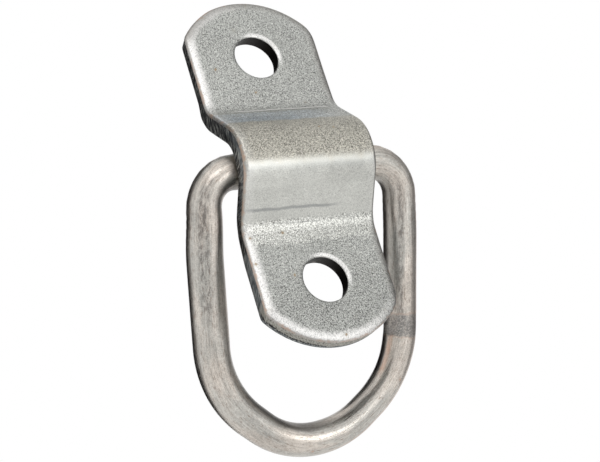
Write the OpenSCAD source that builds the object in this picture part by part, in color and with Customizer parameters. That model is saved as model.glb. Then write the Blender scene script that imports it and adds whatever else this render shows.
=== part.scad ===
// Bolt on d ring tie down: a pressed steel strap with two bolt holes holds the bar of a welded rod ring.
// It stands upright: X runs across the strap, Z up along it, and the mounting face lies in the plane y = 0
// with the hump towards -Y. The origin is on the mounting face, midway between the two bolt holes.

/* [Strap] */
// Width of the flat bar that the strap is pressed from
strap_width = 50.8; // [40:0.1:54]
// Thickness of the flat bar
strap_thickness = 6.35; // [4:0.05:8]
// Distance between the centres of the two bolt holes
hole_spacing = 87; // [84:0.5:110]
// Diameter of each bolt hole
hole_diameter = 16.5; // [8:0.1:18]
// Distance from a hole's centre to the tip of the curved end beyond it
end_margin = 22.9; // [16:0.1:30]
// How far each curved end bulges out past its corners
end_bow = 12.8; // [4:0.1:15]
// Radius rolled onto the front edges when the blank was punched
edge_roll = 1.4; // [0.4:0.1:2.5]
// Radius rolled onto the front rim of each hole
hole_roll = 0.9; // [0.3:0.1:2]

/* [Hump] */
// Slope of the two flanks, measured from the mounting face
flank_angle = 44; // [36:1:58]
// Radius inside the bend between a tab and its flank
tab_bend_radius = 8; // [4:0.5:10]
// Radial room between the ring's bar and the inside of the crown
crown_play = 3.15; // [1:0.05:4]
// Room between the ring's bar and the bolted surface when the bar is pulled out
floor_clearance = 3.1; // [1.5:0.1:5]
// Gap left between the seated bar and the crown
seat_clearance = 0.3; // [0.2:0.05:0.8]

/* [Ring] */
// Diameter of the round rod
rod_diameter = 12.7; // [9:0.1:13.5]
// Room between the strap's side and each leg
side_clearance = 6.95; // [5:0.05:12]
// Bend radius at the two corners beside the strap, to the middle of the rod
corner_radius = 12; // [9:0.5:13]
// Length of the straight part of each leg
leg_length = 46.4; // [36:0.1:70]
// How far each leg leans inwards
leg_taper = 2; // [0:0.5:5]
// Bend radius at the two shoulders, to the middle of the rod
shoulder_radius = 35.7; // [20:0.1:38]
// Direction of the straight runs below the shoulders, measured from the ring's long axis
shoulder_angle = 52; // [46:1:58]
// Length of each straight run between shoulder and foot
run_length = 5; // [0.5:0.5:12]

/* [Pose] */
// Swing of the ring from hanging along the strap, towards the mounting side
ring_swing = 31.5; // [-90:0.5:90]
// How far the loose ring has slid to the right along its bar
ring_slip = 2.8; // [0:0.1:3]
// Where the bar seats in the crown, measured from straight out towards the lower tab
seat_angle = 45; // [0:5:60]

/* [Hidden] */
$fn = 96;
rod_radius = rod_diameter / 2;

// Strap profile: Y runs along the strap from the crown's middle, Z out from the mounting face
crown_radius = rod_radius + crown_play;
crown_centre = rod_diameter + floor_clearance - crown_radius;
crown_end = [crown_radius * sin(flank_angle), crown_centre + crown_radius * cos(flank_angle)];
back_bend_radius = tab_bend_radius + strap_thickness;
bend_top = back_bend_radius * (1 - cos(flank_angle));
flank_length = (crown_end[1] - bend_top) / sin(flank_angle);
tab_start = crown_end[0] + flank_length * cos(flank_angle) + back_bend_radius * sin(flank_angle);
strap_end = hole_spacing / 2 + end_margin;
end_radius = (pow(strap_width / 2, 2) + pow(end_bow, 2)) / (2 * end_bow);
end_centre = strap_end - end_radius;
past = 1; // how far cutting shapes run past a face
bend_reach = 0.2; // how far each bend runs on into the straights beside it
bend_thinning = 0.005; // how much thinner the metal is drawn, all round, in a bend

// Ring: where the bar lies in the crown, and the foot's radius, which closes the ring
seat_offset = crown_play - seat_clearance;
bar_along = -seat_offset * sin(seat_angle);
bar_height = crown_centre + seat_offset * cos(seat_angle);
half_width = strap_width / 2 + side_clearance + rod_radius;
half_bar = half_width - corner_radius;
leg_foot = half_bar + corner_radius * cos(leg_taper) - leg_length * sin(leg_taper);
run_top = leg_foot - shoulder_radius * (cos(leg_taper) - cos(shoulder_angle));
foot_radius = (run_top - run_length * sin(shoulder_angle)) / cos(shoulder_angle);

function reach_angle(radius) = bend_reach / radius * 180 / PI;

module strap_section(thinning = 0) {
    // Cross-section of the pressed bar: back face on y = 0, both front edges rolled
    side = strap_width / 2 - thinning;
    roll_centre = strap_width / 2 - edge_roll;
    translate([-side, thinning]) square([2 * side, strap_thickness - edge_roll - thinning]);
    translate([-roll_centre, thinning]) square([2 * roll_centre, strap_thickness - 2 * thinning]);
    for (x = [-roll_centre, roll_centre]) {
        translate([x, strap_thickness - edge_roll]) circle(edge_roll - thinning);
    }
}

module strap_run(length) {
    // Straight stretch along +Y, back face down
    translate([0, length, 0]) rotate([90, 0, 0]) linear_extrude(length) strap_section();
}

module strap_bend(radius, start, angle, out) {
    // Bend about an axis along X through the origin. radius is the back face's, start the first angle
    // from +Y towards +Z, and out is 1 where the front face looks away from the axis, -1 where it faces it
    reach = reach_angle(radius);
    rotate([90, 0, 90]) rotate([0, 0, start - reach]) rotate_extrude(angle = angle + 2 * reach) {
        translate([radius, 0]) rotate(-90 * out) strap_section(bend_thinning);
    }
}

module curved_end() {
    // Plan shape of a tab: a disc with a rolled front edge, and a block back to the hump
    translate([0, end_centre, 0]) rotate_extrude($fn = 180) {
        translate([0, -past]) square([end_radius, strap_thickness - edge_roll + past]);
        translate([0, -past]) square([end_radius - edge_roll, strap_thickness + past]);
        translate([end_radius - edge_roll, strap_thickness - edge_roll]) circle(edge_roll);
    }
    if (end_centre > tab_start) {
        translate([-strap_width, tab_start - past, -past]) {
            cube([2 * strap_width, end_centre - tab_start + past, strap_thickness + past]);
        }
    }
}

module bolt_hole() {
    // The hole, and the rolled rim of its mouth on the front face
    translate([0, 0, -past]) cylinder(d = hole_diameter, h = strap_thickness + 2 * past);
    translate([0, 0, strap_thickness - hole_roll]) rotate_extrude() difference() {
        translate([hole_diameter / 2 - past, 0]) square(hole_roll + past);
        translate([hole_diameter / 2 + hole_roll, 0]) circle(hole_roll);
    }
}

module tab() {
    difference() {
        intersection() {
            translate([0, tab_start, 0]) strap_run(strap_end - tab_start);
            curved_end();
        }
        translate([0, hole_spacing / 2, 0]) bolt_hole();
    }
}

module half_strap() {
    // One side of the strap from the crown to its end, lying on its mounting face
    translate([0, crown_end[0], crown_end[1]]) rotate([-flank_angle, 0, 0]) strap_run(flank_length);
    translate([0, tab_start, back_bend_radius]) {
        strap_bend(back_bend_radius, 270 - flank_angle, flank_angle, -1);
    }
    tab();
}

module bracket() {
    color([0.62, 0.62, 0.60]) rotate([90, 0, 0]) {
        translate([0, 0, crown_centre]) strap_bend(crown_radius, 90 - flank_angle, 2 * flank_angle, 1);
        half_strap();
        mirror([0, 1, 0]) half_strap();
    }
}

module rod_run(length) {
    // Straight stretch of rod along +X; the children carry on from its far end
    rotate([0, 90, 0]) cylinder(d = rod_diameter, h = length);
    translate([length, 0, 0]) children();
}

module rod_bend(radius, angle) {
    // Bend of the rod from +X towards -Y; the children carry on from its far end
    reach = reach_angle(radius);
    translate([0, -radius, 0]) {
        rotate([0, 0, 90 - angle - reach]) rotate_extrude(angle = angle + 2 * reach) {
            translate([radius, 0]) circle(rod_radius - bend_thinning);
        }
        rotate([0, 0, -angle]) translate([0, radius, 0]) children();
    }
}

module half_ring() {
    // From the middle of the bar round to the foot's bend, flat in the XY plane
    rod_run(half_bar)
        rod_bend(corner_radius, 90 + leg_taper)
            rod_run(leg_length)
                rod_bend(shoulder_radius, shoulder_angle - leg_taper)
                    rod_run(run_length)
                        children();
}

module d_ring() {
    color([0.55, 0.53, 0.50]) rotate([90, 0, 0]) translate([ring_slip, bar_along, bar_height]) {
        rotate([ring_swing, 0, 0]) {
            half_ring() rod_bend(foot_radius, 180 - 2 * shoulder_angle);
            mirror([1, 0, 0]) half_ring();
        }
    }
}

bracket();
d_ring();
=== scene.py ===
from math import cos, hypot, pi, radians, sin, sqrt

import bmesh
import bpy
from mathutils import Matrix, Vector, noise


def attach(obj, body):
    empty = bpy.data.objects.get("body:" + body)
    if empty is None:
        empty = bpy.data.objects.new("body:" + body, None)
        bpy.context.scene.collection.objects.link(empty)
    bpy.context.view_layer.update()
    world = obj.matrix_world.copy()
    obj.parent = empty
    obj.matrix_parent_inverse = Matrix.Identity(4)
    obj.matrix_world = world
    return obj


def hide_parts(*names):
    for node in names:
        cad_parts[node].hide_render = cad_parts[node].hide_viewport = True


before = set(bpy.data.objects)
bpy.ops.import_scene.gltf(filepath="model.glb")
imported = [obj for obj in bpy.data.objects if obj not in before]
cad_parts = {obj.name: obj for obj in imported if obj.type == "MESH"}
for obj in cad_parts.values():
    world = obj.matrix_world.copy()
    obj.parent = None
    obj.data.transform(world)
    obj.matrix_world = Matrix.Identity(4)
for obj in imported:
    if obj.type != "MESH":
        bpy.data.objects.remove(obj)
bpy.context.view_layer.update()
mm = 0.001

# the pressed strap, in mm; the sizes are those of the CAD source
strap = {
    "width": 50.8,
    "thickness": 6.35,
    "holeSpacing": 87.0,
    "holeDiameter": 16.5,
    "endMargin": 22.9,
    "endBow": 12.8,
    "cornerSoft": [0.7, 2.6],     # how softly the tab corners are rounded in plan, left and right
    "edgeRoll": [3.4, 1.5],       # how wide and how deep the front edges of the tabs roll over
    "humpRoll": 1.5,              # how wide they roll over on the hump
    "holeRoll": 1.7,
    "burr": 0.25,
    "tear": [0.25, 0.85],         # how far the torn back half of the cut leans in, lower and upper tab
    "flankTear": 0.5,             # how much more it leans along the lower flank
    "holeTear": 0.5,
    "cornerWorn": 0.9,            # how far the upper left corner is worn back
    "flankAngle": 44.0,
    "tabBendRadius": 8.0,
    "crownRadius": 9.5,
    "crownCentre": 6.3,
    "bendCuts": 14,               # cuts per bend
    "aroundHole": 120,            # points round each hole, a multiple of 8
    "squeeze": 0.22,              # how far the metal bulges sideways inside a bend
    "waviness": 0.05,
}


def smooth(value, start, end):
    t = min(1, max(0, (value - start) / (end - start)))
    return t * t * (3 - 2 * t)


def strapPlaces():
    # lengths along the flat blank, measured from the middle of the crown on its back face
    s = strap
    tilt = radians(s["flankAngle"])
    backBend = s["tabBendRadius"] + s["thickness"]
    crownEnd = (s["crownRadius"] * sin(tilt), s["crownCentre"] + s["crownRadius"] * cos(tilt))
    flank = (crownEnd[1] - backBend * (1 - cos(tilt))) / sin(tilt)
    places = {"tilt": tilt, "backBend": backBend, "crownEnd": crownEnd, "flank": flank}
    places["crown"] = s["crownRadius"] * tilt
    places["bend"] = places["crown"] + flank
    places["tab"] = places["bend"] + backBend * tilt
    places["tabStart"] = crownEnd[0] + flank * cos(tilt) + backBend * sin(tilt)
    shift = places["tab"] - places["tabStart"]
    places["hole"] = s["holeSpacing"] / 2 + shift
    places["end"] = s["holeSpacing"] / 2 + s["endMargin"] + shift
    places["endRadius"] = ((s["width"] / 2) ** 2 + s["endBow"] ** 2) / (2 * s["endBow"])
    return places


place = strapPlaces()


def outlinePoint(direction):
    # how far a ray from the hole's centre goes to the tab's outline
    toSide = strap["width"] / 2 / max(abs(direction.x), 1e-6)
    if direction.y < -1e-6:
        return min(toSide, (place["tab"] - place["hole"]) / direction.y)
    drop = place["hole"] - (place["end"] - place["endRadius"])
    along = drop * direction.y
    toEnd = -along + sqrt(along * along - drop * drop + place["endRadius"] ** 2)
    soft = strap["cornerSoft"][direction.x > 0]
    blend = max(0, soft - abs(toSide - toEnd)) / soft
    return min(toSide, toEnd) - blend * blend * soft / 4


def makeBlank():
    # the upper half of the flat blank, then its mirror image, as one sheet of faces
    bm = bmesh.new()
    count = strap["aroundHole"]
    centre = Matrix.Translation((0, place["hole"], 0))
    hole = bmesh.ops.create_circle(bm, segments=count, radius=strap["holeDiameter"] / 2, matrix=centre)["verts"]
    outline = bmesh.ops.create_circle(bm, segments=count, radius=30, matrix=centre)["verts"]
    for v in outline:
        way = (v.co - centre.translation).normalized()
        v.co = centre.translation + way * outlinePoint(way)
    for x in (-strap["width"] / 2, strap["width"] / 2):
        corner = Vector((x, place["tab"], 0))
        min(outline, key=lambda v: (v.co - corner).length).co = corner
    for v in outline:
        # keeps these points clear of the wide edge roll
        if abs(v.co.y - place["tab"]) < 1e-4 and abs(v.co.x) < strap["width"] / 2 - 0.1:
            v.co.x *= 0.86
    edges = {e for v in hole + outline for e in v.link_edges}
    bmesh.ops.bridge_loops(bm, edges=list(edges))
    inner = [e for e in bm.edges if all(abs(v.co.y - place["tab"]) < 1e-4 for v in e.verts)]
    grown = bmesh.ops.extrude_edge_only(bm, edges=inner)["geom"]
    bmesh.ops.translate(bm, verts=[g for g in grown if isinstance(g, bmesh.types.BMVert)], vec=(0, -place["tab"], 0))
    cuts = strap["bendCuts"]
    stations = [place["crown"] * (i + 1) / cuts for i in range(cuts)]
    stations += [place["crown"] + place["flank"] * (i + 1) / 10 for i in range(10)]
    stations += [place["bend"] + (place["tab"] - place["bend"]) * (i + 1) / cuts for i in range(cuts - 1)]
    for y in stations:
        geom = bm.verts[:] + bm.edges[:] + bm.faces[:]
        bmesh.ops.bisect_plane(bm, geom=geom, plane_co=(0, y, 0), plane_no=(0, 1, 0), dist=1e-4)
    bmesh.ops.mirror(bm, geom=bm.verts[:] + bm.edges[:] + bm.faces[:], matrix=Matrix(), merge_dist=1e-3, axis="Y")
    bmesh.ops.recalc_face_normals(bm, faces=bm.faces)
    return bm


def onHole(v):
    return abs(hypot(v.co.x, abs(v.co.y) - place["hole"]) - strap["holeDiameter"] / 2) < 0.01


def punchBlank(bm):
    # gives the sheet its thickness, rolls the front edges and leaves a burr behind
    thick = strap["thickness"]
    grown = bmesh.ops.extrude_face_region(bm, geom=bm.faces[:])["geom"]
    bmesh.ops.translate(bm, verts=[g for g in grown if isinstance(g, bmesh.types.BMVert)], vec=(0, 0, thick))
    bmesh.ops.recalc_face_normals(bm, faces=bm.faces)
    wide, deep = strap["edgeRoll"]
    for height, rim, hole, steps in ((thick, wide, strap["holeRoll"], 9), (0, strap["burr"], strap["burr"], 2)):
        flat = [e for e in bm.edges if all(abs(v.co.z - height) < 1e-4 for v in e.verts) and e.calc_face_angle(0) > 1]
        rims = [e for e in flat if all(onHole(v) for v in e.verts)]
        sides = [e for e in flat if e not in rims]
        bmesh.ops.bevel(bm, geom=sides, offset=rim, segments=steps, affect="EDGES", profile=0.5, material=-1)
        rims = [e for e in rims if e.is_valid]
        bmesh.ops.bevel(bm, geom=rims, offset=hole, segments=steps, affect="EDGES", profile=0.5, material=-1)
    # the roll is shallower than it is wide, and narrower on the hump
    middle = place["hole"] - strap["holeDiameter"] / 2 - strap["holeRoll"]
    for v in bm.verts:
        drop = thick - v.co.z
        fromHole = hypot(v.co.x, abs(v.co.y) - place["hole"]) - strap["holeDiameter"] / 2
        rolled = strap["holeRoll"] if fromHole < strap["holeRoll"] + 0.01 else wide
        if drop < rolled + 0.01:
            v.co.z = thick - drop * deep / wide
            onTab = min(1, max(0, (abs(v.co.y) - 22) / (middle - 22)))
            inset = strap["width"] / 2 - abs(v.co.x)
            if rolled == wide and inset < wide + 0.01 and abs(v.co.y) < middle:
                share = strap["humpRoll"] / wide * (1 - onTab) + onTab
                v.co.x = (strap["width"] / 2 - inset * share) * (1 if v.co.x > 0 else -1)


def tearWalls(bm):
    # the back half of each punched wall broke away at a slant, and the upper left corner is worn rounder
    half = strap["thickness"] * 0.5
    lower, upper = strap["tear"]
    middle = Vector((0, place["end"] - place["endRadius"]))
    corner = Vector((-strap["width"] / 2, place["end"] - strap["endBow"]))
    for v in bm.verts:
        x, far = v.co.x, abs(v.co.y)
        lean = max(0, 1 - v.co.z / half)
        away = Vector((x, far - place["hole"]))
        if away.length < strap["holeDiameter"] / 2 + 0.4:
            move = away.normalized() * strap["holeTear"] * lean
        else:
            fromMiddle = Vector((x, far)) - middle
            endGap = max(0, place["endRadius"] - fromMiddle.length) if far > place["hole"] else 99
            sideGap = max(0, strap["width"] / 2 - abs(x))
            flank = strap["flankTear"] * smooth(far, 3, 9) * smooth(far, 40, 30)
            slant = lean * (upper * smooth(far, 27, 35) if v.co.y > 0 else lower * smooth(far, 3, 9) + flank)
            slant *= max(0, 1 - min(endGap, sideGap) / 3)
            share = (sideGap + 0.1) / (sideGap + endGap + 0.2)
            inward = fromMiddle.normalized() * -share + Vector((-x, 0)).normalized() * (1 - share)
            move = inward * slant * (1 + 0.7 * share * (x < 0 < v.co.y))
            if v.co.y > 0:
                worn = max(0, 1 - (Vector((x, far)) - corner).length / 16)
                move.y -= worn * strap["cornerWorn"]
        v.co.x += move.x
        v.co.y += move.y * (1 if v.co.y > 0 else -1)


def bendAcross(y, height):
    # where a point of the flat blank lies after pressing: along the strap and out from the mounting face
    side = -1 if y < 0 else 1
    y = abs(y)
    if y < place["crown"]:
        turn = y / strap["crownRadius"]
        reach = strap["crownRadius"] + height
        return side * reach * sin(turn), strap["crownCentre"] + reach * cos(turn)
    if y < place["bend"]:
        far, tilt = y - place["crown"], place["tilt"]
        return (side * (place["crownEnd"][0] + far * cos(tilt) + height * sin(tilt)),
                place["crownEnd"][1] - far * sin(tilt) + height * cos(tilt))
    if y < place["tab"]:
        turn = (place["tab"] - y) / place["backBend"]
        reach = place["backBend"] - height
        return side * (place["tabStart"] - reach * sin(turn)), place["backBend"] - reach * cos(turn)
    return side * (place["tabStart"] + y - place["tab"]), height


def pressStrap(bm):
    # the press bends the blank; the metal bulges a little at the sides inside each bend and pulls in outside it
    blank = bm.verts.layers.float_vector.new("blankPlace")
    wall = bm.verts.layers.float.new("cutWall")
    bm.normal_update()
    for v in bm.verts:
        v[wall] = any(abs(f.normal.z) < 0.05 for f in v.link_faces)
    for v in bm.verts:
        v[blank] = v.co
    tearWalls(bm)
    thick = strap["thickness"]
    for v in bm.verts:
        x, y, z = v.co
        level = 2 * z / thick - 1
        far = abs(y)
        inBend = max(0, 1 - abs(far - (place["bend"] + place["tab"]) / 2) / 7) - max(0, 1 - far / 8)
        x += strap["squeeze"] * inBend * level * (x / (strap["width"] / 2)) ** 7
        along, out = bendAcross(y, z)
        v.co = (x, -out, along)
        wave = noise.noise_vector(v.co * 0.09 + Vector((3, 7, 1)))
        if abs(far) < place["tab"] or z > 0.5:
            v.co += Vector((wave.x, 0, wave.z * 0.5)) * strap["waviness"]


def makeObject(bm, name, body, node):
    bmesh.ops.scale(bm, vec=(mm, mm, mm), verts=bm.verts)
    bmesh.ops.recalc_face_normals(bm, faces=bm.faces)
    for f in bm.faces:
        f.smooth = True
    mesh = bpy.data.meshes.new(name)
    bm.to_mesh(mesh)
    bm.free()
    obj = bpy.data.objects.new(name, mesh)
    bpy.context.scene.collection.objects.link(obj)
    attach(obj, body)
    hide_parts(node)
    return obj


def makeStrap():
    bm = makeBlank()
    punchBlank(bm)
    pressStrap(bm)
    obj = makeObject(bm, "pressed_strap", "strap", "bracket")
    weighted = obj.modifiers.new("flatFaces", "WEIGHTED_NORMAL")
    weighted.weight = 100
    weighted.keep_sharp = True
    print("strap:", len(obj.data.polygons), "faces")
    return obj


# the rod ring, in mm and degrees
ring = {
    "rodDiameter": 12.7,
    "halfBar": 26.7,
    "cornerRadius": 12.0,
    "legLength": 46.4,
    "legTaper": 2.0,
    "shoulderRadius": 35.7,
    "shoulderAngle": 52.0,
    "runLength": 5.0,
    "swing": 31.5,
    "slip": 2.8,
    "seat": [-2.0153, 8.3153],    # the bar's axis along the strap and out from the face
    "around": 64,
    "along": 300,
    "waviness": 0.06,
    "drawnThin": 0.42,            # how much thinner the rod is drawn at the foot and up the right leg
    "cornerThin": 0.95,           # how far the outer side of the tight corners is stretched flat
    "cornerSwell": [0.6, -0.25],  # how far the inner side of the right and the left corner bulges
    "innerThin": 0.9,             # how much is drawn off the inner side between the foot and the weld
    "legBow": 0.8,                # how far the top of the left leg was knocked inwards
    "weldGrind": 0.12,            # how far the butt weld was ground into the rod
}


def rodPath():
    # the ring's centreline from the butt weld at the foot of the right leg, up and round to the left: runs and bends
    r = ring
    taper = radians(r["legTaper"])
    lean = radians(r["shoulderAngle"] - r["legTaper"])
    legX = r["halfBar"] + r["cornerRadius"] * cos(taper) - r["legLength"] * sin(taper)
    runTop = legX - r["shoulderRadius"] * (cos(taper) - cos(radians(r["shoulderAngle"])))
    turn = radians(r["shoulderAngle"])
    footRadius = (runTop - r["runLength"] * sin(turn)) / cos(turn)
    start = Vector((legX, -r["cornerRadius"] * (1 + sin(taper)) - r["legLength"] * cos(taper)))
    steps = [("run", r["legLength"], 0), ("bend", r["cornerRadius"], pi / 2 + taper), ("run", 2 * r["halfBar"], 0),
             ("bend", r["cornerRadius"], pi / 2 + taper), ("run", r["legLength"], 0),
             ("bend", r["shoulderRadius"], lean), ("run", r["runLength"], 0), ("bend", footRadius, pi - 2 * turn),
             ("run", r["runLength"], 0), ("bend", r["shoulderRadius"], lean)]
    return start, pi / 2 - taper, steps


def followPath(distance):
    # the centreline's place and heading that far round from the weld, and how tightly it bends there
    at, heading, steps = rodPath()
    for kind, size, turn in steps:
        length = size if kind == "run" else size * turn
        if distance <= length or (kind, size, turn) == steps[-1] and distance < length + 0.01:
            if kind == "run":
                return at + Vector((cos(heading), sin(heading))) * distance, heading, 0
            done = distance / size
            centre = at + Vector((-sin(heading), cos(heading))) * size
            heading += done
            return centre + Vector((sin(heading), -cos(heading))) * size, heading, 1 / size
        if kind == "run":
            at = at + Vector((cos(heading), sin(heading))) * length
        else:
            centre = at + Vector((-sin(heading), cos(heading))) * size
            heading += turn
            at = centre + Vector((sin(heading), -cos(heading))) * size
        distance -= length
    return at, heading, 0


def makeRing():
    # a sheet of faces is rolled into a rod and the rod bent round until its ends meet at the weld
    steps = rodPath()[2]
    total = sum(size if kind == "run" else size * turn for kind, size, turn in steps)
    bm = bmesh.new()
    bm.loops.layers.uv.new("rodUV")
    bmesh.ops.create_grid(bm, x_segments=ring["around"], y_segments=ring["along"], size=1, calc_uvs=True)
    radius = ring["rodDiameter"] / 2
    pose = (Matrix.Rotation(pi / 2, 4, "X") @ Matrix.Translation((ring["slip"], *ring["seat"]))
            @ Matrix.Rotation(radians(ring["swing"]), 4, "X"))
    for v in bm.verts:
        angle = (v.co.x + 1) * pi
        distance = (v.co.y + 1) / 2 * total
        at, heading = followPath(min(distance, total - 1e-6))[:2]
        outward = Vector((sin(heading), -cos(heading)))
        fromWeld = min(distance, total - distance)
        grind = ring["weldGrind"] * max(0, 1 - (fromWeld / 5) ** 4)
        wave = noise.noise(Vector((cos(angle) * 0.8, sin(angle) * 0.8, fromWeld * 0.06))) * ring["waviness"]
        # thin from the foot's middle on, past the weld and up the right leg
        share = distance / total
        thin = ring["drawnThin"] * (smooth(share, 0.66, 0.80) + smooth(share, 0.44, 0.30))
        inner = ring["innerThin"] * smooth(share, 0.82, 0.89) * smooth(share, 1.0, 0.93)
        bow = ring["legBow"] * smooth(distance, 122, 139) * smooth(distance, 156, 139)
        r = radius - grind * (0.6 + 0.4 * cos(2 * angle)) + wave - thin
        # a tight bend stretches the rod flat outside, farther down the leg than along the bar, and upsets it inside
        onRight = share < 0.31
        spread = range(-6, 13, 3) if onRight else range(-12, 7, 3)
        nearby = [followPath(min(max(distance + step, 0), total - 1e-6))[2] for step in spread]
        tight = smooth(sum(bend > 0.05 for bend in nearby) / len(nearby), 0, 1)
        r -= tight * (ring["cornerThin"] * max(0, cos(angle)) ** 2
                      - ring["cornerSwell"][not onRight] * max(0, -cos(angle)) ** 3)
        r -= inner * max(0, -cos(angle)) ** 2
        flat = at + outward * (r * cos(angle) + thin * 0.6 - bow)
        v.co = pose @ Vector((flat.x, flat.y, r * sin(angle)))
    bmesh.ops.remove_doubles(bm, verts=bm.verts, dist=0.02)
    obj = makeObject(bm, "rod_ring", "ring", "d_ring")
    print("ring:", len(obj.data.polygons), "faces, rod length", round(total, 1), "mm")
    return obj, total


class Tree:
    # short ways to add and join nodes in a material or a node group
    def __init__(self, tree):
        self.tree = tree
        self.column = 0

    def add(self, kind, inputs=None, **settings):
        node = self.tree.nodes.new(kind)
        node.location = (self.column * 190 - 1400, -(len(self.tree.nodes) % 6) * 190)
        self.column += 0.34
        for key, value in settings.items():
            setattr(node, key, value)
        for key, value in (inputs or {}).items():
            self.feed(node.inputs[key], value)
        return node

    def feed(self, socket, value):
        if isinstance(value, bpy.types.NodeSocket):
            self.tree.links.new(value, socket)
        else:
            socket.default_value = value

    def math(self, operation, a, b=0.0, c=0.0, clamp=False):
        node = self.add("ShaderNodeMath", {0: a, 1: b, 2: c}, operation=operation, use_clamp=clamp)
        return node.outputs[0]

    def fade(self, value, start, end, low=0.0, high=1.0):
        # low before start, high after end, smooth in between; start may lie above end
        if start > end:
            start, end, low, high = end, start, high, low
        node = self.add("ShaderNodeMapRange", {"Value": value, "From Min": start, "From Max": end,
                                               "To Min": low, "To Max": high}, interpolation_type="SMOOTHSTEP")
        return node.outputs["Result"]

    def band(self, value, start, end, soft):
        # 1 between start and end, fading to 0 over soft on each side
        return self.math("MULTIPLY", self.fade(value, start - soft, start), self.fade(value, end + soft, end))

    def mix(self, share, a, b, blend="MIX"):
        node = self.add("ShaderNodeMix", {"Factor": share}, data_type="RGBA", blend_type=blend, clamp_factor=True)
        self.feed(node.inputs[6], a)
        self.feed(node.inputs[7], b)
        return node.outputs[2]

    def noise(self, vector, scale, detail=2.0, roughness=0.5, distortion=0.0):
        node = self.add("ShaderNodeTexNoise", {"Vector": vector, "Scale": scale, "Detail": detail,
                                               "Roughness": roughness, "Distortion": distortion})
        return node.outputs["Fac"]

    def scaled(self, vector, scale, rotation=(0, 0, 0), location=(0, 0, 0)):
        node = self.add("ShaderNodeMapping", {"Vector": vector, "Scale": scale, "Rotation": rotation,
                                              "Location": location})
        return node.outputs["Vector"]

    def place(self, name, inputs):
        node = self.add("ShaderNodeGroup", node_tree=bpy.data.node_groups[name])
        for key, value in inputs.items():
            self.feed(node.inputs[key], value)
        return node


def newGroup(name, inputs, outputs):
    # inputs and outputs: name and, for a number, its default; a name ending in Color or Vector says its kind
    group = bpy.data.node_groups.new(name, "ShaderNodeTree")
    kinds = {"Color": "NodeSocketColor", "Vector": "NodeSocketVector"}
    for label, default in inputs.items():
        kind = next((kinds[k] for k in kinds if label.endswith(k)), "NodeSocketFloat")
        socket = group.interface.new_socket(label, in_out="INPUT", socket_type=kind)
        if default is not None:
            socket.default_value = default
    for label in outputs:
        kind = next((kinds[k] for k in kinds if label.endswith(k)), "NodeSocketFloat")
        group.interface.new_socket(label, in_out="OUTPUT", socket_type=kind)
    tree = Tree(group)
    start = group.nodes.new("NodeGroupInput")
    start.location = (-1700, 0)
    end = group.nodes.new("NodeGroupOutput")
    end.location = (900, 0)
    return tree, start.outputs, end.inputs


def makeZincGrain():
    # fine salt and pepper crystals of a plated surface; Cloud is a slow drift of tone
    tree, given, out = newGroup("zincGrain", {"Vector": None, "Size": 0.5, "Contrast": 1.0, "Drift": 1.0},
                                ["Speckle", "Cloud", "Height"])
    perGrain = tree.math("DIVIDE", 1.0, given["Size"])
    fine = tree.add("ShaderNodeTexNoise", {"Vector": given["Vector"], "Scale": perGrain, "Detail": 3.0,
                                           "Roughness": 0.62}).outputs["Fac"]
    coarse = tree.add("ShaderNodeTexNoise", {"Vector": given["Vector"], "Detail": 2.0, "Roughness": 0.5,
                                             "Scale": tree.math("MULTIPLY", perGrain, 0.36)}).outputs["Fac"]
    both = tree.math("ADD", tree.math("MULTIPLY", fine, 0.75), tree.math("MULTIPLY", coarse, 0.25))
    centred = tree.fade(both, 0.36, 0.64, -0.5, 0.5)
    tree.feed(out["Speckle"], tree.math("MULTIPLY", centred, given["Contrast"]))
    slow = tree.noise(given["Vector"], 0.09, 3.0, 0.55)
    tree.feed(out["Cloud"], tree.math("MULTIPLY", tree.math("SUBTRACT", slow, 0.5), given["Drift"]))
    tree.feed(out["Height"], both)


def makeEdgeWear():
    # 1 where handling has rubbed an edge bright, from the distance to it; Tint is where the copper strike shows
    tree, given, out = newGroup("edgeWear", {"Vector": None, "Distance": 0.0, "Width": 1.4, "Breakup": 0.5},
                                ["Wear", "Tint"])
    rough = tree.noise(given["Vector"], 0.55, 4.0, 0.6)
    shift = tree.math("MULTIPLY", tree.math("SUBTRACT", rough, 0.5), given["Breakup"])
    share = tree.math("DIVIDE", given["Distance"], given["Width"])
    moved = tree.math("ADD", share, shift)
    tree.feed(out["Wear"], tree.fade(moved, 1.25, 0.55))
    thin = tree.band(moved, -0.1, 0.06, 0.12)
    patchy = tree.fade(tree.noise(given["Vector"], 0.22, 2.0), 0.36, 0.62)
    tree.feed(out["Tint"], tree.math("MULTIPLY", thin, patchy))


def makeScratches():
    # long fine marks along the vector's third axis
    tree, given, out = newGroup("scratches", {"Vector": None, "Fineness": 2.2, "Length": 12.0, "Amount": 0.5},
                                ["Light", "Dark", "Height"])
    squeeze = tree.add("ShaderNodeCombineXYZ", {"X": given["Fineness"], "Y": given["Fineness"],
                                                "Z": tree.math("DIVIDE", 1.0, given["Length"])}).outputs[0]
    drawn = tree.add("ShaderNodeVectorMath", {0: given["Vector"], 1: squeeze}, operation="MULTIPLY").outputs[0]
    lines = tree.noise(drawn, 1.0, 4.0, 0.6)
    limit = tree.math("MULTIPLY", given["Amount"], 0.16)
    tree.feed(out["Light"], tree.fade(tree.math("ADD", lines, limit), 0.60, 0.74))
    tree.feed(out["Dark"], tree.fade(tree.math("SUBTRACT", lines, limit), 0.40, 0.27))
    tree.feed(out["Height"], lines)


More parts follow.
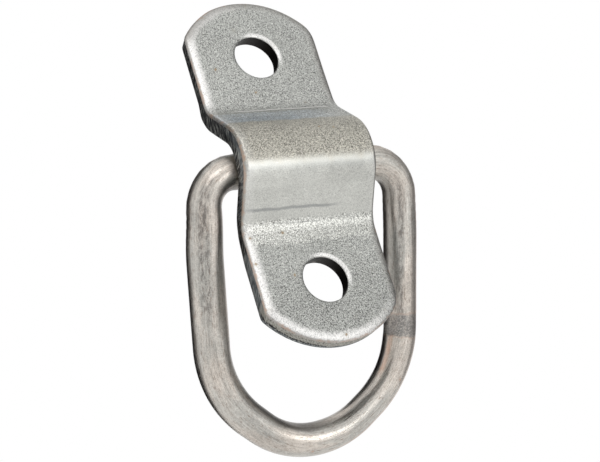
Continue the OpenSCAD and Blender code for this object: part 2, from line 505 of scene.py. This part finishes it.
def makeSpecks():
    # sparse small spots of rust and dirt
    tree, given, out = newGroup("specks", {"Vector": None, "Spacing": 6.0, "Share": 0.3}, ["Spots", "Bloom"])
    cells = tree.add("ShaderNodeTexVoronoi", {"Vector": given["Vector"], "Randomness": 1.0,
                                              "Scale": tree.math("DIVIDE", 1.0, given["Spacing"])})
    chosen = tree.math("LESS_THAN", tree.add("ShaderNodeSeparateColor", {0: cells.outputs["Color"]}).outputs[0],
                       given["Share"])
    ragged = tree.math("MULTIPLY_ADD", tree.noise(given["Vector"], 1.6, 3.0), 0.16, cells.outputs["Distance"])
    tree.feed(out["Spots"], tree.math("MULTIPLY", tree.fade(ragged, 0.19, 0.12), chosen))
    tree.feed(out["Bloom"], tree.math("MULTIPLY", tree.fade(ragged, 0.36, 0.12), chosen))


def newMaterial(name):
    material = bpy.data.materials.new(name)
    material.use_nodes = True
    tree = Tree(material.node_tree)
    tree.tree.nodes.clear()
    shader = tree.add("ShaderNodeBsdfPrincipled")
    shader.location = (900, 0)
    output = tree.add("ShaderNodeOutputMaterial", {"Surface": shader.outputs[0]})
    output.location = (1200, 0)
    return material, tree, shader


strapFinish = {
    "zinc": (0.415, 0.42, 0.40, 1),
    "pale": (0.63, 0.63, 0.59, 1),
    "brown": (0.41, 0.39, 0.335, 1),
    "blue": (0.48, 0.515, 0.54, 1),
    "stain": (0.25, 0.29, 0.33, 1),
    "bright": (0.86, 0.85, 0.83, 1),
    "copper": (0.50, 0.34, 0.25, 1),
    "grimeAndShade": (0.17, 0.155, 0.135, 1),
    "fracture": (0.03, 0.031, 0.033, 1),
    "burnish": (0.21, 0.235, 0.25, 1),
    "endWall": (0.50, 0.485, 0.43, 1),
    "holeWallShade": (0.016, 0.014, 0.012, 1),
    "rust": (0.36, 0.25, 0.14, 1),
    "grainSize": 0.21,
    "grainContrast": 1.9,
}


def finishStrap():
    material, tree, shader = newMaterial("zincStrap")
    f = strapFinish
    blank = tree.add("ShaderNodeAttribute", attribute_name="blankPlace").outputs["Vector"]
    where = tree.add("ShaderNodeSeparateXYZ", {0: blank})
    x, y, z = where.outputs
    inMm = tree.scaled(tree.add("ShaderNodeTexCoord").outputs["Object"], (1000, 1000, 1000))

    # distances in mm to the sides, the round ends and the holes
    side = tree.math("SUBTRACT", strap["width"] / 2, tree.math("ABSOLUTE", x))
    far = tree.math("ABSOLUTE", y)
    toEnd = tree.math("SUBTRACT", far, place["end"] - place["endRadius"])
    endReach = tree.math("SQRT", tree.math("ADD", tree.math("MULTIPLY", x, x), tree.math("MULTIPLY", toEnd, toEnd)))
    atEnd = tree.math("SUBTRACT", place["endRadius"], endReach)
    isEnd = tree.math("GREATER_THAN", toEnd, 0.0)
    endGap = tree.math("ADD", atEnd, tree.math("MULTIPLY", tree.math("SUBTRACT", 1.0, isEnd), 40.0))
    toHole = tree.math("SUBTRACT", far, place["hole"])
    holeReach = tree.math("SQRT", tree.math("ADD", tree.math("MULTIPLY", x, x), tree.math("MULTIPLY", toHole, toHole)))
    holeGap = tree.math("SUBTRACT", holeReach, strap["holeDiameter"] / 2)
    soft = tree.fade(x, -1.0, 1.0, *strap["cornerSoft"])
    outerGap = tree.math("SMOOTH_MIN", side, endGap, soft)

    grain = tree.place("zincGrain", {"Vector": inMm, "Size": f["grainSize"], "Contrast": f["grainContrast"]})
    wear = tree.place("edgeWear", {"Vector": inMm, "Distance": outerGap, "Width": 3.5, "Breakup": 0.9})
    scratch = tree.place("scratches", {"Vector": blank, "Fineness": 1.4, "Length": 6.0, "Amount": 0.2})
    specks = tree.place("specks", {"Vector": inMm, "Spacing": 6.0, "Share": 0.28})

    # zones along the strap: smooth pale lower flank, brown upper crown, blue smear above it
    ragged = tree.math("MULTIPLY_ADD", tree.noise(blank, 0.25, 3.0), 3.0, y)
    lower = tree.band(ragged, -19.0, -5.0, 2.5)
    brown = tree.band(ragged, -0.6, 9.5, 2.8)
    blue = tree.math("MULTIPLY", tree.band(ragged, 11.5, 20.0, 0.8), tree.fade(x, 22.0, 8.0))
    blue = tree.math("MULTIPLY", blue, tree.fade(tree.noise(blank, 0.45, 4.0, 0.6), 0.30, 0.62, 0.55, 1.0))
    stain = tree.math("MULTIPLY", tree.band(ragged, 11.5, 15.5, 1.5), tree.band(x, -19.0, 2.0, 6.0))
    stain = tree.math("MULTIPLY", stain, tree.fade(tree.noise(blank, 0.6, 4.0, 0.7), 0.35, 0.6, 0.3, 1.0))
    # painted highlight: a pale band along the lower tab's bend, strongest on the left
    bendHighlight = tree.math("MULTIPLY", tree.band(ragged, -31.5, -21.5, 3.0), tree.fade(x, 20.0, -20.0, 0.5, 1.0))

    color = tree.mix(tree.math("MULTIPLY", lower, 0.75), f["zinc"], f["pale"])
    color = tree.mix(tree.math("MULTIPLY", brown, 0.75), color, f["brown"])
    color = tree.mix(tree.math("MULTIPLY", blue, 0.8), color, f["blue"])
    color = tree.mix(tree.math("MULTIPLY", stain, 0.5), color, f["stain"])
    color = tree.mix(tree.math("MULTIPLY", bendHighlight, 0.9), color, f["pale"])
    crest = tree.band(y, -9.0, -3.5, 1.6)
    calm = tree.math("SUBTRACT", 1.0, tree.math("MULTIPLY", tree.math("MAXIMUM", lower, crest), 0.72))
    tone = tree.math("MULTIPLY", grain.outputs["Speckle"], calm)
    tone = tree.math("ADD", tone, tree.math("MULTIPLY", grain.outputs["Cloud"], 0.35))
    # painted shade: the lower tab darker towards its end
    tone = tree.math("ADD", tone, tree.fade(y, -36.0, -60.0, 1.04, 0.92))
    # painted highlight: the crown's highlight band lighter on the left and darker on the right
    tone = tree.math("ADD", tone, tree.math("MULTIPLY", crest, tree.fade(x, -20.0, 22.0, 0.12, -0.10)))
    shade = tree.add("ShaderNodeCombineColor", {0: tone, 1: tone, 2: tone}).outputs[0]
    color = tree.mix(1.0, color, shade, "MULTIPLY")

    # press marks: a dark line on the lower flank and a short one below it; at the upper bend a light line that is a
    # painted highlight, with a painted shadow line under it
    wobble = tree.math("MULTIPLY_ADD", tree.noise(blank, 0.12, 2.0), 1.6, y)
    dieLine = tree.math("MULTIPLY", tree.band(wobble, -16.7, -16.4, 0.7), tree.band(x, -21.0, 5.0, 9.0))
    shortLine = tree.math("MULTIPLY", tree.band(wobble, -23.9, -23.6, 0.3), tree.band(x, -13.0, 2.0, 3.0))
    pressLineHighlight = tree.math("MULTIPLY", tree.band(wobble, 22.3, 23.1, 0.4), tree.band(x, -15.0, 18.0, 4.0))
    shadedUnderLine = tree.math("MULTIPLY", tree.band(wobble, 21.4, 21.7, 0.4), tree.band(x, -15.0, 18.0, 4.0))
    marks = tree.math("ADD", dieLine, tree.math("MULTIPLY", shortLine, 0.6), clamp=True)
    marks = tree.math("MAXIMUM", marks, tree.math("MULTIPLY", shadedUnderLine, 0.5))
    color = tree.mix(tree.math("MULTIPLY", marks, 0.55), color, (0.20, 0.21, 0.22, 1))
    color = tree.mix(tree.math("MULTIPLY", pressLineHighlight, 0.9), color, f["bright"])

    isLowEnd = tree.fade(y, -54.0, -58.0)
    # front rims: rubbed bright by wear just inside the edge, and brightened more on the left and at the lower end as a
    # painted highlight; painted shade darkens the very edge on the left and the right and upper rims
    front = tree.fade(z, 3.6, 5.2)
    rubbed = tree.math("MULTIPLY", wear.outputs["Wear"], front)
    rubbed = tree.math("MULTIPLY", rubbed, tree.fade(far, 20.0, 34.0, 0.2, 1.0))
    # painted highlight: the rubbed band is made brighter on the left side and along the lower end
    litSide = tree.fade(x, 6.0, -14.0, 0.25, 1.0)
    litSide = tree.math("MAXIMUM", litSide, tree.math("MULTIPLY", isLowEnd, tree.fade(x, 22.0, 8.0, 0.3, 1.0)))
    grainy = tree.math("MULTIPLY_ADD", grain.outputs["Speckle"], 0.5, 0.85)
    color = tree.mix(tree.math("MULTIPLY", tree.math("MULTIPLY", rubbed, litSide), grainy), color, f["bright"])
    # painted highlight on the rim of each hole at its upper right
    fromHole = tree.math("SUBTRACT", y, tree.math("MULTIPLY", tree.math("SIGN", y), place["hole"]))
    corner = tree.math("DIVIDE", tree.math("ADD", x, fromHole), holeReach)
    holeHighlight = tree.math("MULTIPLY", tree.band(holeGap, 0.3, 1.2, 0.6), tree.fade(corner, 0.35, 1.25))
    color = tree.mix(tree.math("MULTIPLY", tree.math("MULTIPLY", holeHighlight, front), grainy), color, f["bright"])
    # painted shade: the right rims and the upper end's rim are darkened, little on the hump
    rightRim = tree.math("MULTIPLY", tree.fade(side, 4.5, 0.5), tree.fade(x, -6.0, 18.0))
    topRim = tree.math("MULTIPLY", tree.fade(endGap, 4.5, 0.5), tree.fade(y, 50.0, 60.0))
    rimShade = tree.math("MULTIPLY", tree.math("MAXIMUM", rightRim, topRim), tree.fade(far, 24.0, 36.0, 0.06, 1.0))
    color = tree.mix(tree.math("MULTIPLY", tree.math("MULTIPLY", rimShade, front), 0.5), color, f["grimeAndShade"])
    # painted shade: the very edge on the left is darkened where the roll turns away
    thin = tree.math("MULTIPLY", tree.fade(outerGap, 0.8, 0.3), tree.math("MULTIPLY", front, tree.fade(x, 10.0, -10.0)))
    color = tree.mix(tree.math("MULTIPLY", thin, 0.5), color, f["grimeAndShade"])
    color = tree.mix(tree.math("MULTIPLY", tree.math("MULTIPLY", wear.outputs["Tint"], front), 0.6), color, f["copper"])

    # cut walls: a burnished front band, a torn one behind it, slanting scratches over both
    wall = tree.fade(tree.add("ShaderNodeAttribute", attribute_name="cutWall").outputs["Fac"], 0.1, 0.8)
    diagonal = tree.scaled(blank, (1, 1, 1), (radians(35), 0, 0))
    hatch = tree.place("scratches", {"Vector": diagonal, "Fineness": 2.4, "Length": 4.5, "Amount": 0.6})
    depth = tree.math("MULTIPLY_ADD", tree.noise(blank, 0.5, 4.0), 2.0, z)
    torn = tree.fade(tree.math("ADD", depth, tree.fade(y, 0.0, -26.0, 0.0, 2.0)), 4.2, 3.2)
    torn = tree.math("MULTIPLY", torn, tree.math("SUBTRACT", 1.0, isLowEnd))
    crack = tree.math("MULTIPLY", tree.band(depth, 2.6, 3.1, 0.4), tree.math("MULTIPLY", isLowEnd, tree.fade(x, -3.0, -9.0)))
    torn = tree.math("MAXIMUM", torn, crack)
    cut = tree.mix(tree.fade(y, -8.0, 14.0), f["burnish"], f["fracture"])
    cut = tree.mix(tree.band(y, -34.0, -23.0, 3.0), cut, f["fracture"])
    cut = tree.mix(isLowEnd, cut, f["endWall"])
    cut = tree.mix(tree.math("MULTIPLY", isLowEnd, tree.fade(depth, 2.8, 2.2)), cut, f["burnish"])
    cut = tree.mix(torn, cut, f["fracture"])
    cut = tree.mix(tree.math("MULTIPLY", hatch.outputs["Light"], 0.9), cut, f["pale"])
    cut = tree.mix(tree.math("MULTIPLY", hatch.outputs["Dark"], 0.8), cut, (0.015, 0.015, 0.017, 1))
    # painted shade: the walls inside the holes are near black
    inHole = tree.fade(holeGap, 1.0, 0.1)
    cut = tree.mix(inHole, cut, f["holeWallShade"])
    color = tree.mix(wall, color, cut)
    color = tree.mix(tree.math("MULTIPLY", specks.outputs["Bloom"], 0.35), color, f["brown"])
    color = tree.mix(tree.math("MULTIPLY", specks.outputs["Spots"], 0.8), color, f["rust"])
    tree.feed(shader.inputs["Base Color"], color)

    rough = tree.math("MULTIPLY_ADD", grain.outputs["Speckle"], 0.10, 0.44)
    rough = tree.math("ADD", rough, tree.math("MULTIPLY", rubbed, 0.04))
    rough = tree.math("SUBTRACT", rough, tree.math("MULTIPLY", tree.math("MAXIMUM", lower, crest), 0.08))
    rough = tree.math("ADD", rough, tree.math("MULTIPLY", wall, 0.1), clamp=True)
    tree.feed(shader.inputs["Roughness"], rough)
    metal = tree.math("SUBTRACT", 1.0, tree.math("MULTIPLY", wall, tree.math("MULTIPLY_ADD", inHole, -0.2, 0.2)))
    tree.feed(shader.inputs["Metallic"], tree.math("SUBTRACT", metal, tree.math("MULTIPLY", specks.outputs["Spots"], 0.5)))

    height = tree.math("MULTIPLY", grain.outputs["Height"], calm)
    height = tree.math("ADD", height, tree.math("MULTIPLY", tree.math("MULTIPLY", hatch.outputs["Height"], wall), 2.0))
    height = tree.math("SUBTRACT", height, tree.math("MULTIPLY", marks, 0.8))
    height = tree.math("ADD", height, tree.math("MULTIPLY", scratch.outputs["Height"], 0.1))
    bump = tree.add("ShaderNodeBump", {"Height": height, "Strength": 0.35, "Distance": 0.00012})
    tree.feed(shader.inputs["Normal"], bump.outputs["Normal"])
    return material


rodFinish = {
    "zinc": (0.595, 0.545, 0.49, 1),
    "grey": (0.49, 0.475, 0.44, 1),
    "dark": (0.10, 0.09, 0.085, 1),
    "bright": (0.88, 0.85, 0.80, 1),
    "brown": (0.23, 0.16, 0.12, 1),
    "copper": (0.60, 0.38, 0.27, 1),
    "weld": (0.24, 0.235, 0.23, 1),
    "weldHalf": 4.1,
}


def finishRing(total):
    material, tree, shader = newMaterial("zincRod")
    f = rodFinish
    uv = tree.add("ShaderNodeUVMap", uv_map="rodUV").outputs["UV"]
    where = tree.add("ShaderNodeSeparateXYZ", {0: uv})
    angle = tree.math("MULTIPLY", where.outputs[0], 2 * pi)
    along = tree.math("MULTIPLY", where.outputs[1], total)
    radius = ring["rodDiameter"] / 2
    inward = tree.math("COSINE", angle)
    rod = tree.add("ShaderNodeCombineXYZ", {
        "X": tree.math("MULTIPLY", inward, radius),
        "Y": tree.math("MULTIPLY", tree.math("SINE", angle), radius),
        "Z": along}).outputs[0]
    inMm = tree.scaled(tree.add("ShaderNodeTexCoord").outputs["Object"], (1000, 1000, 1000))

    grain = tree.place("zincGrain", {"Vector": inMm, "Size": 0.40, "Contrast": 0.36, "Drift": 1.4})
    drawn = tree.place("scratches", {"Vector": rod, "Fineness": 1.7, "Length": 12.0, "Amount": 0.1})
    fine = tree.place("scratches", {"Vector": tree.scaled(rod, (1, 1, 1), (0, 0, 0), (5, 9, 3)),
                                    "Fineness": 3.0, "Length": 2.2, "Amount": 0.35})
    specks = tree.place("specks", {"Vector": inMm, "Spacing": 6.0, "Share": 0.25})

    warm = tree.fade(tree.noise(tree.scaled(rod, (1, 1, 0.25)), 0.16, 3.0), 0.38, 0.62)
    color = tree.mix(warm, f["grey"], f["zinc"])
    tone = tree.math("ADD", grain.outputs["Speckle"], tree.math("MULTIPLY", grain.outputs["Cloud"], 0.5))
    tone = tree.math("ADD", tone, tree.math("MULTIPLY", tree.math("SUBTRACT", drawn.outputs["Height"], 0.5), 0.8))
    tone = tree.math("ADD", tone, 1.06)
    shade = tree.add("ShaderNodeCombineColor", {0: tone, 1: tone, 2: tone}).outputs[0]
    color = tree.mix(1.0, color, shade, "MULTIPLY")
    color = tree.mix(tree.math("MULTIPLY", drawn.outputs["Light"], 0.25), color, f["bright"])
    color = tree.mix(tree.math("MULTIPLY", fine.outputs["Dark"], 0.7), color, f["brown"])
    color = tree.mix(tree.math("MULTIPLY", drawn.outputs["Dark"], 0.2), color, f["dark"])
    # grime and painted shade: a dark stripe down each leg and blotches on the left one's outer side; painted shade on
    # the inner sides of the foot and the right leg, and a painted shadow on the bar behind the strap
    blotch = tree.fade(tree.noise(tree.scaled(rod, (1, 1, 0.4)), 0.95, 5.0, 0.75), 0.42, 0.60)
    stripe = tree.math("MULTIPLY", tree.band(along, 134.0, 166.0, 14.0), tree.band(angle, 0.95, 1.2, 0.35))
    stripe = tree.math("MULTIPLY", stripe, tree.math("MULTIPLY_ADD", blotch, 0.6, 0.12))
    outside = tree.math("MULTIPLY", tree.band(along, 136.0, 215.0, 12.0), tree.fade(angle, 5.5, 5.8))
    outside = tree.math("MULTIPLY", tree.math("MULTIPLY", outside, blotch), 0.85)
    turned = tree.math("SUBTRACT", angle, tree.fade(along, 238.0, 258.0, 0.0, 0.4))
    # painted shade on the foot's inner side, weaker towards its right end
    foot = tree.math("MULTIPLY", tree.band(along, 212.0, total - 30.0, 16.0), tree.band(turned, 2.45, 3.4, 0.35))
    foot = tree.math("MULTIPLY", foot, tree.fade(along, 238.0, 256.0, 0.7, 0.12))
    rightLeg = tree.math("MULTIPLY", tree.band(along, 6.0, 50.0, 6.0), tree.band(angle, 1.98, 2.12, 0.2))
    rightLeg = tree.math("MULTIPLY", rightLeg, tree.math("MULTIPLY_ADD", blotch, 0.5, 0.15))
    # painted shade down the inner side of the right leg
    legInnerShade = tree.math("MULTIPLY", tree.band(along, 4.0, 56.0, 6.0), tree.band(angle, 3.0, 3.7, 0.35))
    rightLeg = tree.math("MAXIMUM", rightLeg, tree.math("MULTIPLY", legInnerShade, 0.55))
    foot = tree.math("MAXIMUM", foot, rightLeg)
    # painted shadow on the bar behind the strap and under it by the left corner
    under = tree.math("MULTIPLY", tree.band(along, 100.0, 127.0, 4.0), tree.band(angle, 2.2, 4.2, 0.7))
    barShadow = tree.math("MULTIPLY", tree.math("MAXIMUM", tree.band(along, 73.0, 117.0, 7.0), under),
                       tree.math("MULTIPLY_ADD", blotch, 0.25, 0.62))
    grimeAndShade = tree.math("MAXIMUM", tree.math("MAXIMUM", stripe, outside), tree.math("MAXIMUM", foot, barShadow))
    color = tree.mix(grimeAndShade, color, f["dark"])
    # heat from the weld left the inner side below it copper; next to that the inner side is darkened as painted shade
    below = tree.band(tree.math("SUBTRACT", total, along), 6.0, 18.0, 5.0)
    inner = tree.math("MULTIPLY", below, tree.band(angle, 2.62, 2.8, 0.2))
    color = tree.mix(tree.math("MULTIPLY", inner, tree.math("MULTIPLY_ADD", blotch, 0.4, 0.3)), color, f["copper"])
    inner = tree.math("MULTIPLY", below, tree.band(angle, 3.15, 3.6, 0.3))
    color = tree.mix(tree.math("MULTIPLY", inner, 0.75), color, f["dark"])
    # a thin copper line shows down the outer side of the right leg
    outer = tree.math("MULTIPLY", tree.fade(tree.math("ABSOLUTE", tree.math("SUBTRACT", along, total / 2)),
                                            total / 2 - 60.0, total / 2 - 40.0), tree.band(angle, 0.66, 0.78, 0.12))
    color = tree.mix(tree.math("MULTIPLY", outer, tree.math("MULTIPLY_ADD", blotch, 0.35, 0.2)), color, f["copper"])
    color = tree.mix(tree.math("MULTIPLY", specks.outputs["Bloom"], 0.3), color, f["brown"])
    color = tree.mix(tree.math("MULTIPLY", specks.outputs["Spots"], 0.5), color, f["copper"])

    # the ground flash of the butt weld, which lies where the rod's two ends meet
    fromWeld = tree.math("MINIMUM", along, tree.math("SUBTRACT", total, along))
    edge = tree.math("MULTIPLY_ADD", tree.noise(rod, 0.5, 3.0), 2.4, fromWeld)
    weld = tree.fade(edge, f["weldHalf"] + 2.0, f["weldHalf"] + 0.4)
    uneven = tree.fade(tree.noise(tree.scaled(rod, (1, 1, 0.5)), 0.4, 4.0, 0.6), 0.36, 0.58, 0.4, 0.8)
    rim = tree.band(edge, f["weldHalf"] + 1.2, f["weldHalf"] + 1.7, 0.3)
    grit = tree.place("scratches", {"Vector": tree.scaled(rod, (1, 1, 1), (radians(80), 0, radians(20))),
                                    "Fineness": 2.0, "Length": 4.0, "Amount": 0.6})
    ground = tree.mix(tree.math("MULTIPLY", grit.outputs["Light"], 0.7), f["weld"], f["zinc"])
    ground = tree.mix(tree.math("MULTIPLY", grit.outputs["Dark"], 0.6), ground, f["dark"])
    color = tree.mix(tree.math("MULTIPLY", weld, uneven), color, ground)
    color = tree.mix(tree.math("MULTIPLY", rim, 0.2), color, f["copper"])
    tree.feed(shader.inputs["Base Color"], color)

    rough = tree.math("MULTIPLY_ADD", drawn.outputs["Height"], 0.20, 0.24)
    rough = tree.math("ADD", rough, tree.math("MULTIPLY", tree.band(along, 46.0, 70.0, 6.0), 0.10))
    rough = tree.math("SUBTRACT", rough, tree.math("MULTIPLY", tree.band(along, 228.0, 286.0, 8.0), 0.05))
    rough = tree.math("ADD", rough, tree.math("MULTIPLY", weld, 0.12), clamp=True)
    tree.feed(shader.inputs["Roughness"], rough)
    shader.inputs["Metallic"].default_value = 1.0

    height = tree.math("ADD", tree.math("MULTIPLY", grain.outputs["Height"], 0.5),
                       tree.math("MULTIPLY", drawn.outputs["Height"], 1.2))
    height = tree.math("ADD", height, tree.math("MULTIPLY", tree.math("MULTIPLY", grit.outputs["Height"], weld), 1.5))
    bump = tree.add("ShaderNodeBump", {"Height": height, "Strength": 0.4, "Distance": 0.00012})
    tree.feed(shader.inputs["Normal"], bump.outputs["Normal"])
    return material


def makeWorld():
    # white where the camera and the metal look, a plain level for everything else
    world = bpy.data.worlds.new("studio")
    bpy.context.scene.world = world
    world.use_nodes = True
    tree = Tree(world.node_tree)
    tree.tree.nodes.clear()
    path = tree.add("ShaderNodeLightPath")
    seen = tree.math("MAXIMUM", path.outputs["Is Camera Ray"], path.outputs["Is Glossy Ray"])
    seen = tree.math("MAXIMUM", seen, path.outputs["Is Transmission Ray"])
    plain = tree.add("ShaderNodeBackground", {"Color": (0.8, 0.82, 0.85, 1), "Strength": 0.6})
    white = tree.add("ShaderNodeBackground", {"Color": (1, 1, 1, 1), "Strength": 1.0})
    both = tree.add("ShaderNodeMixShader", {0: seen, 1: plain.outputs[0], 2: white.outputs[0]})
    tree.add("ShaderNodeOutputWorld", {"Surface": both.outputs[0]})


camera = {
    "place": (-0.29327535, -0.51064569, -0.24981191),
    "turn": (112.02614, 16.00359, -23.44976),
    "lens": 110.390066,
}


def makeCamera():
    data = bpy.data.cameras.new("photoView")
    data.sensor_width = 36
    data.lens = camera["lens"]
    data.clip_start = 0.01
    obj = bpy.data.objects.new("photoView", data)
    bpy.context.scene.collection.objects.link(obj)
    obj.location = camera["place"]
    obj.rotation_euler = [radians(a) for a in camera["turn"]]
    bpy.context.scene.camera = obj
    bpy.context.view_layer.update()
    return obj


# soft boxes and cards, placed as the camera sees them: right, up and towards it, in metres
studio = {
    "lamps": {
        "key": {"place": (1.04, 0.22, 0.83), "size": (0.6, 0.26), "power": 1.9},
        "top": {"place": (-0.05, 0.93, 0.89), "size": (0.8, 0.25), "power": 2.3},
    },
    "cards": {
        "left": {"place": (-0.90, 0.0, -0.80), "size": (1.5, 2.4), "tone": 0.02},
        "right": {"place": (1.10, 0.25, -0.65), "size": (1.4, 1.7), "tone": 0.26},
        "above": {"place": (0.15, 1.05, -0.75), "size": (1.4, 0.9), "tone": 0.75},
    },
}


def facing(spot, target=Vector((0, 0, 0))):
    return (target - spot).to_track_quat("-Z", "Y").to_matrix().to_4x4()


def makeStudio(cam):
    turn = cam.matrix_world.to_3x3()
    for name, box in studio["lamps"].items():
        data = bpy.data.lights.new(name, "AREA")
        data.shape = "RECTANGLE"
        data.size, data.size_y = box["size"]
        data.energy = box["power"]
        obj = bpy.data.objects.new(name, data)
        bpy.context.scene.collection.objects.link(obj)
        spot = turn @ Vector(box["place"])
        obj.matrix_world = Matrix.Translation(spot) @ facing(spot)
    for name, card in studio["cards"].items():
        bm = bmesh.new()
        bmesh.ops.create_grid(bm, x_segments=1, y_segments=1, size=0.5)
        bmesh.ops.scale(bm, vec=(*card["size"], 1), verts=bm.verts)
        spot = turn @ Vector(card["place"])
        bmesh.ops.transform(bm, matrix=Matrix.Translation(spot) @ facing(spot), verts=bm.verts)
        mesh = bpy.data.meshes.new(name + "_card")
        bm.to_mesh(mesh)
        bm.free()
        paint = bpy.data.materials.new(name + "Card")
        paint.use_nodes = True
        tree = Tree(paint.node_tree)
        tree.tree.nodes.clear()
        glow = tree.add("ShaderNodeEmission", {"Color": (card["tone"], card["tone"], card["tone"], 1)})
        tree.add("ShaderNodeOutputMaterial", {"Surface": glow.outputs[0]})
        mesh.materials.append(paint)
        obj = bpy.data.objects.new(name + "_card", mesh)
        bpy.context.scene.collection.objects.link(obj)
        obj.visible_camera = False
        obj.visible_shadow = False
        obj.visible_diffuse = False


def makeFloor():
    bm = bmesh.new()
    bmesh.ops.create_grid(bm, x_segments=1, y_segments=1, size=6)
    bmesh.ops.translate(bm, verts=bm.verts, vec=(0, 0, -1.2))
    mesh = bpy.data.meshes.new("floor")
    bm.to_mesh(mesh)
    bm.free()
    obj = bpy.data.objects.new("floor", mesh)
    bpy.context.scene.collection.objects.link(obj)
    material = bpy.data.materials.new("paleFloor")
    material.use_nodes = True
    tree = Tree(material.node_tree)
    tree.tree.nodes.clear()
    path = tree.add("ShaderNodeLightPath")
    seen = tree.math("MAXIMUM", path.outputs["Is Camera Ray"], path.outputs["Is Glossy Ray"])
    seen = tree.math("MAXIMUM", seen, path.outputs["Is Transmission Ray"])
    paint = tree.add("ShaderNodeBsdfDiffuse", {"Color": (0.85, 0.85, 0.85, 1)})
    glow = tree.add("ShaderNodeEmission", {"Color": (1, 1, 1, 1), "Strength": 1.0})
    both = tree.add("ShaderNodeMixShader", {0: tree.math("MULTIPLY", seen, 0.94), 1: paint.outputs[0], 2: glow.outputs[0]})
    tree.add("ShaderNodeOutputMaterial", {"Surface": both.outputs[0]})
    mesh.materials.append(material)


for build in (makeZincGrain, makeEdgeWear, makeScratches, makeSpecks):
    build()
print("shared finishes made")
strapObject = makeStrap()
ringObject, rodLength = makeRing()
strapObject.data.materials.append(finishStrap())
ringObject.data.materials.append(finishRing(rodLength))
print("pieces finished")
makeWorld()
photoView = makeCamera()
makeStudio(photoView)
makeFloor()
bpy.context.scene.view_settings.view_transform = "Standard"
print("studio set")
